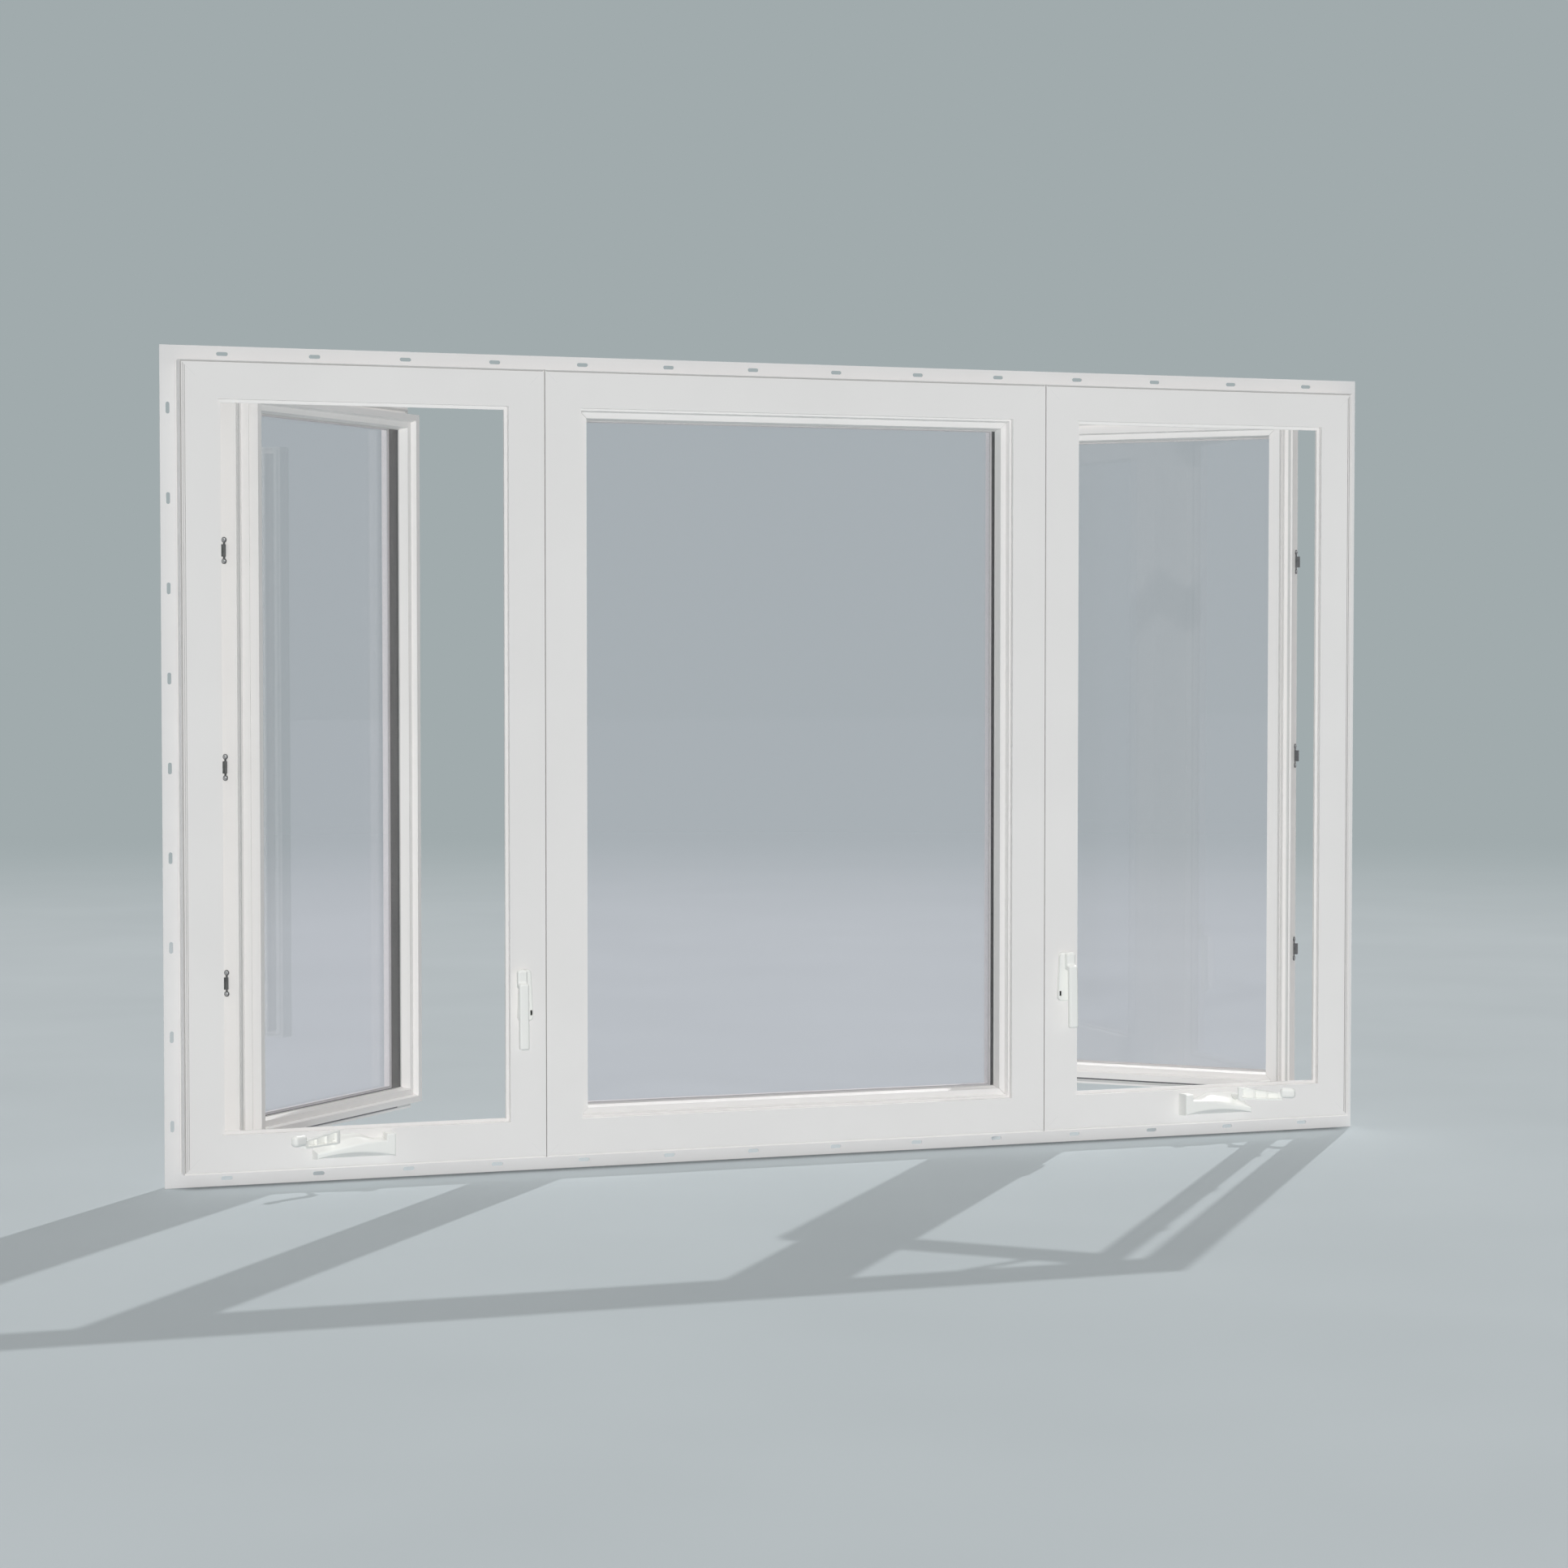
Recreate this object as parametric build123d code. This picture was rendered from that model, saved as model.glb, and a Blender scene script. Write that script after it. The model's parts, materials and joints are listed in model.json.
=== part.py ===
from build123d import *
import os
from math import cos, radians, sin, sqrt

# Triple casement window: casement, fixed picture unit, casement, with one nail fin around all three.
# Millimetres. +X is to the right seen from indoors, +Y points outdoors, +Z is up.
# Origin: middle of the width, on the indoor face of the nail fin, on the bottom row of nail slots.

# Units and nail fin
CASEMENT_WIDTH = 609.6
PICTURE_WIDTH = 914.4
FRAME_HEIGHT = 1320.8
FIN_REACH = 25.4
FIN_THICKNESS = 2.0
SLOT_INSET = 12.7
SLOT_LENGTH = 19.05
SLOT_WIDTH = 6.35
SLOT_END = 101.6
SLOTS_ACROSS = 14
SLOTS_DOWN = 9

# Frame section
FRAME_INDOOR = 36.0
FRAME_OUTDOOR = 46.5
FACE_WIDTH = 62.5
FACE_RECESS = 9.0
STOP_WIDTH = 68.0
STOP_LIP = 5.0
WEB_WIDTH = 30.0
KERF_INSET = 0.4
KERF_WIDTH = 3.0
KERF_DEPTH = 3.0
SCORE_INSETS = (5.2, 8.0)
SCORE_WIDTH = 1.2
SCORE_DEPTH = 3.0
FIN_GROOVE_DEPTH = 3.0
FIN_GROOVE_WIDTH = 8.0
FIN_GROOVE_LAND = 1.0
SEAM_GAP = 0.8
SEAM_DEPTH = 9.0

# Sash section, from the sash body's outer edge inward and from its indoor face outward
SASH_CLEARANCE = 8.0
SASH_FLANGE = 15.0
SASH_FLANGE_START = 33.0
SASH_DEPTH = 66.0
SASH_FACE = 12.7
SASH_GROOVE_START = 14.0
SASH_GROOVE_WIDTH = 4.0
SASH_GROOVE_DEPTH = 1.2
WEATHER_GAP = 3.0
SASH_OPEN = 45.0

# Glazing
BEAD_STEP = 10.3
STEP_SLOPE = 2.0
BEAD_WIDTH = 13.0
BEAD_DEPTH = 18.0
BEAD_SLOPE = 3.0
BEAD_MITRE_GAP = 0.3
PANE = 3.0
PANE_GAP = 19.0
GLASS_EDGE_CLEARANCE = 2.3
SPACER_INSET = 1.0
SPACER_WIDTH = 7.4

# Casement hinge, at the sill and again at the head
HINGE_SASH_REACH = 100.0
HINGE_SUPPORT_REACH = 178.5
HINGE_PIN_INSET = 3.0
HINGE_TRACK_WIDTH = 22.0
HINGE_TRACK_OVERHANG = 26.0
HINGE_ARM_WIDTH = 16.0
HINGE_SASH_ARM_TAIL = 60.0
SHOE_LENGTH = 36.0

# Operator, under the sash
OPERATOR_PIVOT_X = 286.0
OPERATOR_PIVOT_Y = -4.0
OPERATOR_HUB_RADIUS = 13.0
OPERATOR_ARM_WIDTH = 14.0
OPERATOR_ARM_THICKNESS = 4.0
OPERATOR_ARM_LIFT = 9.0
OPERATOR_REACH = 147.0
TRACK_START = 60.0
TRACK_END = 430.0
TRACK_WIDTH = 18.0
TRACK_HEIGHT = 3.5
TRACK_WALL = 1.2
TRACK_DEPTH_CENTRE = 15.0
KNOB_CLEARANCE = 0.4

# Operator cover, with its back on the sill face, and crank handle
COVER_INNER_END = 344.0
COVER_BOTTOM = 17.0
COVER_LENGTH = 133.0
COVER_HEIGHT = 40.0
COVER_DEPTH = 30.0
COVER_DRAFT = 2.0
COVER_BLOCK = 15.0
COVER_NOTCH = 4.0
COVER_LIFT = 3.0
COVER_ARCH = 7.0
COVER_ARCH_FLAT = 0.2
COVER_ARCH_PLACE = 46.0
COVER_EDGE = 2.5
COVER_EDGE_STEPS = 3
# Top line of the cover: distance from the inner end, height at the back and height at the front
COVER_CREST = (
    (19.0, 30.5, 29.0), (38.0, 31.0, 28.0), (54.0, 37.5, 26.5), (78.0, 38.5, 22.0), (104.0, 37.0, 17.0),
    (133.0, 15.5, 13.0),
)
BOSS_RADIUS = 5.0
BOSS_FROM_END = 28.0
BOSS_STAND_OFF = 44.0
BOSS_HEIGHT = 30.0
BOSS_RISE = 2.0
BOSS_SEAT = 8.0
HANDLE_LENGTH = 94.0
HANDLE_HEIGHT = 22.0
HANDLE_END_HEIGHT = 12.0
HANDLE_THICKNESS = 10.0
HANDLE_BACK = 3.0
HANDLE_START = 9.0
HANDLE_TURN = 32.0
HANDLE_WALL = 2.0
HANDLE_POCKETS = 3
HANDLE_LIP = 3.0
KNOB_LENGTH = 27.0
KNOB_HEIGHT = 18.0
KNOB_THICKNESS = 15.0
KNOB_EDGE = 6.0
KNOB_OVERLAP = 4.0
KNOB_RISE = 4.0

# Lock on the jamb beside the picture unit
LOCK_FROM_SEAM = 37.5
LOCK_BOTTOM = 185.0
LEVER_LENGTH = 133.0
LEVER_WIDTH = 17.0
LEVER_BLOCK = 22.0
LEVER_BLOCK_DEPTH = 9.0
LEVER_NECK = 9.0
LEVER_STAND_OFF = 8.0
LEVER_LEAN = 3.0
LEVER_THICKNESS = 11.0
LEVER_OFFSET = 7.5
LEVER_EDGE = 4.0
ESCUTCHEON_TOP_WIDTH = 19.0
ESCUTCHEON_WIDTH = 27.0
ESCUTCHEON_LENGTH = 86.0
ESCUTCHEON_THICKNESS = 8.0
ESCUTCHEON_CORNER = 7.0
ESCUTCHEON_EDGE = 2.5
LOCK_SLOT_WIDTH = 4.0
LOCK_SLOT_LENGTH = 9.0

# Snubbers on the hinge stile
SNUBBER_PITCH = 355.0
SNUBBER_SHIFT = 7.0
SNUBBER_LUG_RADIUS = 4.5
SNUBBER_LUG_PLACE = 17.5
SNUBBER_SCREW_RADIUS = 1.6
SNUBBER_NECK = 3.0
SNUBBER_PLATE = 1.6
SNUBBER_BLOCK_LENGTH = 20.0
SNUBBER_BLOCK_WIDTH = 6.0
SNUBBER_RISE = 7.0

# Derived places
FRAME_BOTTOM = FIN_REACH - SLOT_INSET
FRAME_TOP = FRAME_BOTTOM + FRAME_HEIGHT
MID_HEIGHT = (FRAME_BOTTOM + FRAME_TOP) / 2
SEAM_X = PICTURE_WIDTH / 2
FRAME_EDGE_X = SEAM_X + CASEMENT_WIDTH
LIP_FRONT = -FRAME_INDOOR + FACE_RECESS
STOP_BACK = LIP_FRONT + STOP_LIP
SASH_INSET = WEB_WIDTH + SASH_CLEARANCE + SASH_FLANGE
SASH_FRONT = STOP_BACK + WEATHER_GAP
GLASS_THICKNESS = 2 * PANE + PANE_GAP
SASH_LEFT = -FRAME_EDGE_X + SASH_INSET
SASH_RIGHT = -SEAM_X - SASH_INSET
SASH_BOTTOM = FRAME_BOTTOM + SASH_INSET
SASH_TOP = FRAME_TOP - SASH_INSET
PIN_DEPTH = (SASH_FLANGE_START + SASH_DEPTH) / 2
PIN_Y = SASH_FRONT + PIN_DEPTH
PIN_CLOSED_X = SASH_LEFT + HINGE_PIN_INSET
SHOE_TRAVEL = (
    HINGE_SASH_REACH + HINGE_SUPPORT_REACH - HINGE_SASH_REACH * cos(radians(SASH_OPEN))
    - sqrt(HINGE_SUPPORT_REACH ** 2 - (HINGE_SASH_REACH * sin(radians(SASH_OPEN))) ** 2)
)
PIN_OPEN_X = PIN_CLOSED_X + SHOE_TRAVEL
POCKET_FLOOR = FRAME_BOTTOM + WEB_WIDTH
LAYER = SASH_CLEARANCE / 3


def section(points):
    """Face in the YZ plane from (inset, depth) points: inset runs along +Z, depth along +Y."""
    return Plane.YZ * make_face(Polyline(*[(depth, inset) for inset, depth in points], close=True))


def mitred_bar(points, length, gap=0.0):
    """Bar along +X from 0 to length at inset 0, with 45 degree mitres at both ends."""
    insets = [inset for inset, depth in points]
    low, high = min(insets), max(insets)
    depths = [depth for inset, depth in points]
    reach = 2 * max(abs(depth) for depth in depths)
    bar = Pos(low, 0, 0) * extrude(section(points), length - 2 * low)
    ends = Polyline(
        (low + gap, low), (length - low - gap, low), (length - high - gap, high), (high + gap, high), close=True
    )
    return bar & extrude(Plane.XZ * make_face(ends), reach, both=True)


def four_sides(bottom, top, left, right, left_x, right_x, bottom_z, top_z, gap=0.0):
    """Mitred frame: the sections of its bottom, top, left and right bars, and its outer rectangle."""
    width = right_x - left_x
    height = top_z - bottom_z
    return {
        "bottom": Pos(left_x, 0, bottom_z) * mitred_bar(bottom, width, gap),
        "top": Pos(right_x, 0, top_z) * Rot(0, 180, 0) * mitred_bar(top, width, gap),
        "left": Pos(left_x, 0, top_z) * Rot(0, 90, 0) * mitred_bar(left, height, gap),
        "right": Pos(right_x, 0, bottom_z) * Rot(0, -90, 0) * mitred_bar(right, height, gap),
    }


def outer_edge(on_perimeter, scored=False):
    """Outer side of a frame section, from outdoors to the indoor face."""
    if not on_perimeter:
        seam_floor = -FRAME_INDOOR + SEAM_DEPTH
        return [(0, FRAME_OUTDOOR), (0, seam_floor), (SEAM_GAP, seam_floor), (SEAM_GAP, -FRAME_INDOOR)]
    groove_back = -FIN_GROOVE_LAND
    groove_front = groove_back - FIN_GROOVE_WIDTH
    kerf_end = KERF_INSET + KERF_WIDTH
    points = [
        (0, FRAME_OUTDOOR),
        (0, groove_back),
        (FIN_GROOVE_DEPTH, groove_back),
        (FIN_GROOVE_DEPTH, groove_front),
        (0, groove_front),
        (0, -FRAME_INDOOR),
        (KERF_INSET, -FRAME_INDOOR),
        (kerf_end, -FRAME_INDOOR + KERF_DEPTH),
        (kerf_end, -FRAME_INDOOR),
    ]
    for start in SCORE_INSETS if scored else ():
        points += [
            (start, -FRAME_INDOOR),
            (start, -FRAME_INDOOR + SCORE_DEPTH),
            (start + SCORE_WIDTH, -FRAME_INDOOR + SCORE_DEPTH),
            (start + SCORE_WIDTH, -FRAME_INDOOR),
        ]
    return points


def casement_section(on_perimeter, scored=False):
    """Frame section with an indoor stop and an open pocket that the sash closes into."""
    return outer_edge(on_perimeter, scored) + [
        (FACE_WIDTH, -FRAME_INDOOR),
        (FACE_WIDTH, LIP_FRONT),
        (STOP_WIDTH, LIP_FRONT),
        (STOP_WIDTH, STOP_BACK),
        (WEB_WIDTH, STOP_BACK),
        (WEB_WIDTH, FRAME_OUTDOOR),
    ]


def picture_section(on_perimeter):
    """Frame section with a rebate for fixed glass, open indoors where the bead snaps in."""
    glass_front = LIP_FRONT + BEAD_STEP + BEAD_DEPTH
    glass_back = glass_front + GLASS_THICKNESS
    leg = STOP_WIDTH + BEAD_WIDTH
    return outer_edge(on_perimeter) + [
        (FACE_WIDTH, -FRAME_INDOOR),
        (FACE_WIDTH, LIP_FRONT),
        (STOP_WIDTH - STEP_SLOPE, LIP_FRONT),
        (STOP_WIDTH, LIP_FRONT + BEAD_STEP),
        (STOP_WIDTH, glass_back),
        (leg, glass_back),
        (leg, FRAME_OUTDOOR),
    ]


def sash_section():
    """Sash section: indoor face, glass rebate, outdoor leg and the flange that covers the pocket."""
    glass_front = SASH_FRONT + BEAD_STEP + BEAD_DEPTH
    glass_back = glass_front + GLASS_THICKNESS
    sash_back = SASH_FRONT + SASH_DEPTH
    groove_front = SASH_FRONT + SASH_GROOVE_START
    leg = SASH_FACE + BEAD_WIDTH
    return [
        (-SASH_FLANGE, sash_back),
        (-SASH_FLANGE, SASH_FRONT + SASH_FLANGE_START),
        (0, SASH_FRONT + SASH_FLANGE_START),
        (0, groove_front + SASH_GROOVE_WIDTH),
        (SASH_GROOVE_DEPTH, groove_front + SASH_GROOVE_WIDTH),
        (SASH_GROOVE_DEPTH, groove_front),
        (0, groove_front),
        (0, SASH_FRONT),
        (SASH_FACE - STEP_SLOPE, SASH_FRONT),
        (SASH_FACE, SASH_FRONT + BEAD_STEP),
        (SASH_FACE, glass_back),
        (leg, glass_back),
        (leg, sash_back),
    ]


def bead_section(rebate, front):
    """Glazing bead: rebate is the inset of its seat, front the depth of its indoor face."""
    return [
        (rebate, front),
        (rebate + BEAD_WIDTH - BEAD_SLOPE, front),
        (rebate + BEAD_WIDTH, front + BEAD_DEPTH),
        (rebate, front + BEAD_DEPTH),
    ]


def block(low, high):
    """Box between two corners."""
    size = [b - a for a, b in zip(low, high)]
    centre = [(a + b) / 2 for a, b in zip(low, high)]
    return Pos(*centre) * Box(*size)


def glazing(rebate, front, left_x, right_x, bottom_z, top_z):
    """Beads, two panes and the spacer between them, inside a frame's outer rectangle."""
    seat = bead_section(rebate, front)
    beads = four_sides(seat, seat, seat, seat, left_x, right_x, bottom_z, top_z, BEAD_MITRE_GAP)
    edge = rebate + GLASS_EDGE_CLEARANCE
    glass_front = front + BEAD_DEPTH
    panes = []
    for pane_front in (glass_front, glass_front + PANE + PANE_GAP):
        low = (left_x + edge, pane_front, bottom_z + edge)
        high = (right_x - edge, pane_front + PANE, top_z - edge)
        panes.append(block(low, high))
    outer = edge + SPACER_INSET
    inner = outer + SPACER_WIDTH
    gap_front = glass_front + PANE
    gap_back = gap_front + PANE_GAP
    spacer = block((left_x + outer, gap_front, bottom_z + outer), (right_x - outer, gap_back, top_z - outer))
    spacer -= block((left_x + inner, gap_front, bottom_z + inner), (right_x - inner, gap_back, top_z - inner))
    return {
        "glazing_beads": Compound([bar.solid() for bar in beads.values()]),
        "glass": Compound([pane.solid() for pane in panes]),
        "spacer": spacer,
    }


def opened(piece):
    """Turns a piece of the left sash from closed to its open place on the hinge pins."""
    return Pos(PIN_OPEN_X, PIN_Y, 0) * Rot(0, 0, SASH_OPEN) * Pos(-PIN_CLOSED_X, -PIN_Y, 0) * piece


def link(start, end, width, low_z, high_z):
    """Flat bar with round ends from one pivot to another."""
    middle = (Vector(*start) + Vector(*end)) / 2
    run = Vector(*end) - Vector(*start)
    angle = Vector(1, 0, 0).get_signed_angle(run, Vector(0, 0, 1)) if run.length else 0
    slot = Pos(middle.X, middle.Y, low_z) * Rot(0, 0, angle) * SlotCenterToCenter(run.length, width)
    return extrude(slot, high_z - low_z)


def hinge():
    """Sill hinge of the left casement: track, sliding shoe, support arm and sash arm, riveted together."""
    turn = radians(SASH_OPEN)
    floor, second, third, top = [POCKET_FLOOR + LAYER * layer for layer in range(4)]
    shoe = (PIN_OPEN_X, PIN_Y)
    fixed = (PIN_CLOSED_X + HINGE_SASH_REACH + HINGE_SUPPORT_REACH, PIN_Y)
    meeting = (PIN_OPEN_X + HINGE_SASH_REACH * cos(turn), PIN_Y + HINGE_SASH_REACH * sin(turn))
    tail_reach = HINGE_SASH_REACH + HINGE_SASH_ARM_TAIL
    tail = (PIN_OPEN_X + tail_reach * cos(turn), PIN_Y + tail_reach * sin(turn))
    track = block(
        (PIN_CLOSED_X - SHOE_LENGTH / 2, PIN_Y - HINGE_TRACK_WIDTH / 2, floor),
        (fixed[0] + HINGE_TRACK_OVERHANG, PIN_Y + HINGE_TRACK_WIDTH / 2, second),
    )
    slider = block(
        (shoe[0] - SHOE_LENGTH / 2, PIN_Y - HINGE_ARM_WIDTH / 2, second),
        (shoe[0] + SHOE_LENGTH / 2, PIN_Y + HINGE_ARM_WIDTH / 2, third),
    )
    support = link(fixed, meeting, HINGE_ARM_WIDTH, second, third)
    sash_arm = link(shoe, tail, HINGE_ARM_WIDTH, third, top)
    return track + slider + support + sash_arm


def operator():
    """Operator arm with its gear hub on the pocket floor, and the track it runs in under the sash."""
    pivot = (-SEAM_X - CASEMENT_WIDTH + OPERATOR_PIVOT_X, OPERATOR_PIVOT_Y)
    guide_closed = Pos(SASH_LEFT + OPERATOR_REACH, SASH_FRONT + TRACK_DEPTH_CENTRE, 0) * Vertex(0, 0, 0)
    guide = opened(guide_closed).center()
    arm_low = POCKET_FLOOR + OPERATOR_ARM_LIFT
    arm_high = arm_low + OPERATOR_ARM_THICKNESS
    arm = link(pivot, (guide.X, guide.Y), OPERATOR_ARM_WIDTH, arm_low, arm_high)
    hub = Pos(*pivot, POCKET_FLOOR) * extrude(Circle(OPERATOR_HUB_RADIUS), arm_high - POCKET_FLOOR)
    knob_radius = TRACK_WIDTH / 2 - TRACK_WALL - KNOB_CLEARANCE
    knob_top = SASH_BOTTOM - TRACK_WALL - KNOB_CLEARANCE
    knob = Pos(guide.X, guide.Y, arm_high) * extrude(Circle(knob_radius), knob_top - arm_high)
    centre_y = SASH_FRONT + TRACK_DEPTH_CENTRE
    half = TRACK_WIDTH / 2
    channel = block(
        (SASH_LEFT + TRACK_START, centre_y - half, SASH_BOTTOM - TRACK_HEIGHT),
        (SASH_LEFT + TRACK_END, centre_y + half, SASH_BOTTOM),
    )
    channel -= block(
        (SASH_LEFT + TRACK_START, centre_y - half + TRACK_WALL, SASH_BOTTOM - TRACK_HEIGHT),
        (SASH_LEFT + TRACK_END, centre_y + half - TRACK_WALL, SASH_BOTTOM - TRACK_WALL),
    )
    return {"operator_arm": arm + hub + knob, "operator_track": opened(channel)}


def cover_outline(depth, inset):
    """Elevation of the operator cover at a depth in front of the sill face, drawn in by an inset."""
    share = depth / COVER_DEPTH
    left, right, top = -COVER_LENGTH + COVER_DRAFT * share + inset, -inset, COVER_HEIGHT - inset
    block_end = -COVER_BLOCK + inset
    crest = [(-place, back + (front - back) * share - inset) for place, back, front in COVER_CREST]
    notch_end = -COVER_BLOCK - COVER_NOTCH - inset
    notch_floor = crest[0][1]
    toe = crest[-1][1]
    base = inset + COVER_LIFT * share
    bottom = Spline((left, base), (-COVER_ARCH_PLACE, base + COVER_ARCH_FLAT + COVER_ARCH * share), (right, base))
    inner = Polyline(
        (right, base), (right, top), (block_end, top), (block_end, notch_floor), (notch_end, notch_floor)
    )
    sweep_down = Spline((notch_end, notch_floor), *crest[1:-1], (left, toe))
    outer = Line((left, toe), (left, base))
    return Plane.XZ.offset(depth) * make_face([bottom, *inner.edges(), sweep_down, outer])


def operator_cover():
    """Moulded cover on the sill: a tall block, a notch, a hump and a saddle that sweeps down to a toe."""
    outlines = [cover_outline(0, 0)]
    for step in range(COVER_EDGE_STEPS + 1):
        turn = radians(90 * step / COVER_EDGE_STEPS)
        outlines.append(cover_outline(COVER_DEPTH - COVER_EDGE * (1 - sin(turn)), COVER_EDGE * (1 - cos(turn))))
    body = loft(outlines, ruled=True)
    return Pos(-FRAME_EDGE_X + COVER_INNER_END, -FRAME_INDOOR, FRAME_BOTTOM + COVER_BOTTOM) * body


def crank_handle(cover):
    """Folding crank handle on its spindle, turned into the room: tapered channel arm, ribs, lip and end knob."""
    arm_end = HANDLE_LENGTH - KNOB_LENGTH + KNOB_OVERLAP
    half = HANDLE_THICKNESS / 2
    side = Polyline(
        (-HANDLE_START, 0), (arm_end, 0), (arm_end, HANDLE_END_HEIGHT), (-HANDLE_START, HANDLE_HEIGHT), close=True
    )
    arm = extrude(Plane.XZ * make_face(side), half, both=True)
    arm = fillet(arm.edges().filter_by(Axis.Z).sort_by(Axis.X)[:2], half - HANDLE_WALL / 2)
    slope = (HANDLE_HEIGHT - HANDLE_END_HEIGHT) / (arm_end + HANDLE_START)
    roof = HANDLE_HEIGHT - HANDLE_WALL - slope * HANDLE_START
    pocket_pitch = (arm_end - KNOB_OVERLAP) / HANDLE_POCKETS
    for pocket in range(HANDLE_POCKETS):
        start = pocket * pocket_pitch
        stop = start + pocket_pitch - HANDLE_WALL
        hollow = Polyline(
            (start, HANDLE_LIP), (stop, HANDLE_LIP), (stop, roof - slope * stop), (start, roof - slope * start),
            close=True,
        )
        arm -= Pos(0, half, 0) * extrude(Plane.XZ * make_face(hollow), HANDLE_THICKNESS - HANDLE_BACK)
    lip = block((0, half, 0), (arm_end, half + HANDLE_LIP, HANDLE_LIP))
    knob = Box(KNOB_LENGTH, KNOB_THICKNESS, KNOB_HEIGHT, align=(Align.MAX, Align.CENTER, Align.MIN))
    knob = fillet(knob.edges(), KNOB_EDGE)
    place = Pos(
        -FRAME_EDGE_X + COVER_INNER_END - COVER_LENGTH + BOSS_FROM_END,
        -FRAME_INDOOR - BOSS_STAND_OFF,
        FRAME_BOTTOM + COVER_BOTTOM + BOSS_HEIGHT,
    )
    spindle = Pos(0, 0, BOSS_RISE) * Rot(-90, 0, 0) * Cylinder(
        BOSS_RADIUS, BOSS_STAND_OFF - BOSS_SEAT, align=(Align.CENTER, Align.CENTER, Align.MIN)
    )
    turned = Rot(0, 0, 180 + HANDLE_TURN) * (arm + lip + Pos(HANDLE_LENGTH, 0, KNOB_RISE) * knob)
    return place * (turned + spindle) - cover


def lock():
    """Lock escutcheon on the jamb face and the lever that hangs from its top."""
    centre_x = -SEAM_X - LOCK_FROM_SEAM
    top = FRAME_BOTTOM + LOCK_BOTTOM + LEVER_LENGTH
    outline = Polyline(
        (-ESCUTCHEON_TOP_WIDTH / 2, 0),
        (-ESCUTCHEON_WIDTH / 2, -ESCUTCHEON_LENGTH),
        (ESCUTCHEON_WIDTH / 2, -ESCUTCHEON_LENGTH),
        (ESCUTCHEON_TOP_WIDTH / 2, 0),
        close=True,
    )
    plate_face = make_face(outline)
    plate_face = fillet(plate_face.vertices(), ESCUTCHEON_CORNER)
    plate = extrude(Plane.XZ * plate_face, ESCUTCHEON_THICKNESS)
    plate = fillet(plate.faces().sort_by(Axis.Y)[0].edges(), ESCUTCHEON_EDGE)
    slot_x = ESCUTCHEON_WIDTH / 2 - LOCK_SLOT_WIDTH
    slot_z = -ESCUTCHEON_LENGTH + ESCUTCHEON_WIDTH / 2
    plate -= block(
        (slot_x - LOCK_SLOT_WIDTH / 2, -ESCUTCHEON_THICKNESS, slot_z - LOCK_SLOT_LENGTH / 2),
        (slot_x + LOCK_SLOT_WIDTH / 2, -ESCUTCHEON_THICKNESS / 2, slot_z + LOCK_SLOT_LENGTH / 2),
    )
    seat = -ESCUTCHEON_THICKNESS
    block_front = seat - LEVER_BLOCK_DEPTH
    bar_back = seat - LEVER_STAND_OFF
    bar_front = bar_back - LEVER_THICKNESS
    side = Polyline(
        (seat, 0), (block_front, 0), (block_front, -LEVER_BLOCK), (bar_front, -LEVER_BLOCK),
        (bar_front - LEVER_LEAN, -LEVER_LENGTH), (bar_back - LEVER_LEAN, -LEVER_LENGTH),
        (bar_back, -LEVER_BLOCK - LEVER_NECK), (seat, -LEVER_BLOCK - LEVER_NECK), close=True,
    )
    lever = Pos(-LEVER_OFFSET - LEVER_WIDTH / 2, 0, 0) * extrude(Plane.YZ * make_face(side), LEVER_WIDTH)
    seat_edges = lever.faces().sort_by(Axis.Y)[-1].edges()
    lever = fillet([edge for edge in lever.edges() if edge not in seat_edges], LEVER_EDGE)
    place = Pos(centre_x, -FRAME_INDOOR, top)
    return {"lock_escutcheon": place * plate, "lock_lever": place * lever}


def snubbers():
    """Three steel snubbers on the edge of the hinge stile: two drilled lugs, a neck and a raised block."""
    edge_x = SASH_LEFT - SASH_FLANGE
    outline = Rectangle(SNUBBER_NECK, 2 * SNUBBER_LUG_PLACE)
    for place in (-SNUBBER_LUG_PLACE, SNUBBER_LUG_PLACE):
        outline += Pos(0, place) * Circle(SNUBBER_LUG_RADIUS)
        outline -= Pos(0, place) * Circle(SNUBBER_SCREW_RADIUS)
    plate = extrude(Plane.YZ * outline, -SNUBBER_PLATE)
    half_width = SNUBBER_BLOCK_WIDTH / 2
    half_length = SNUBBER_BLOCK_LENGTH / 2
    snubber = plate + block((-SNUBBER_RISE, -half_width, -half_length), (0, half_width, half_length))
    row = []
    for place in (-1, 0, 1):
        spot = Pos(edge_x, PIN_Y + SNUBBER_SHIFT, MID_HEIGHT + place * SNUBBER_PITCH)
        row.append(opened(spot * snubber).solid())
    return Compound(row)


def fin_strip(low, high, slots, upright):
    """Nail fin strip between two corners in X and Z, with round-ended slots at the given points."""
    strip = block((low[0], 0, low[1]), (high[0], FIN_THICKNESS, high[1]))
    turn = 90 if upright else 0
    openings = Sketch() + [Pos(x, z) * Rot(0, 0, turn) * SlotOverall(SLOT_LENGTH, SLOT_WIDTH) for x, z in slots]
    return strip - extrude(Plane.XZ * openings, -FIN_THICKNESS)


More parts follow.
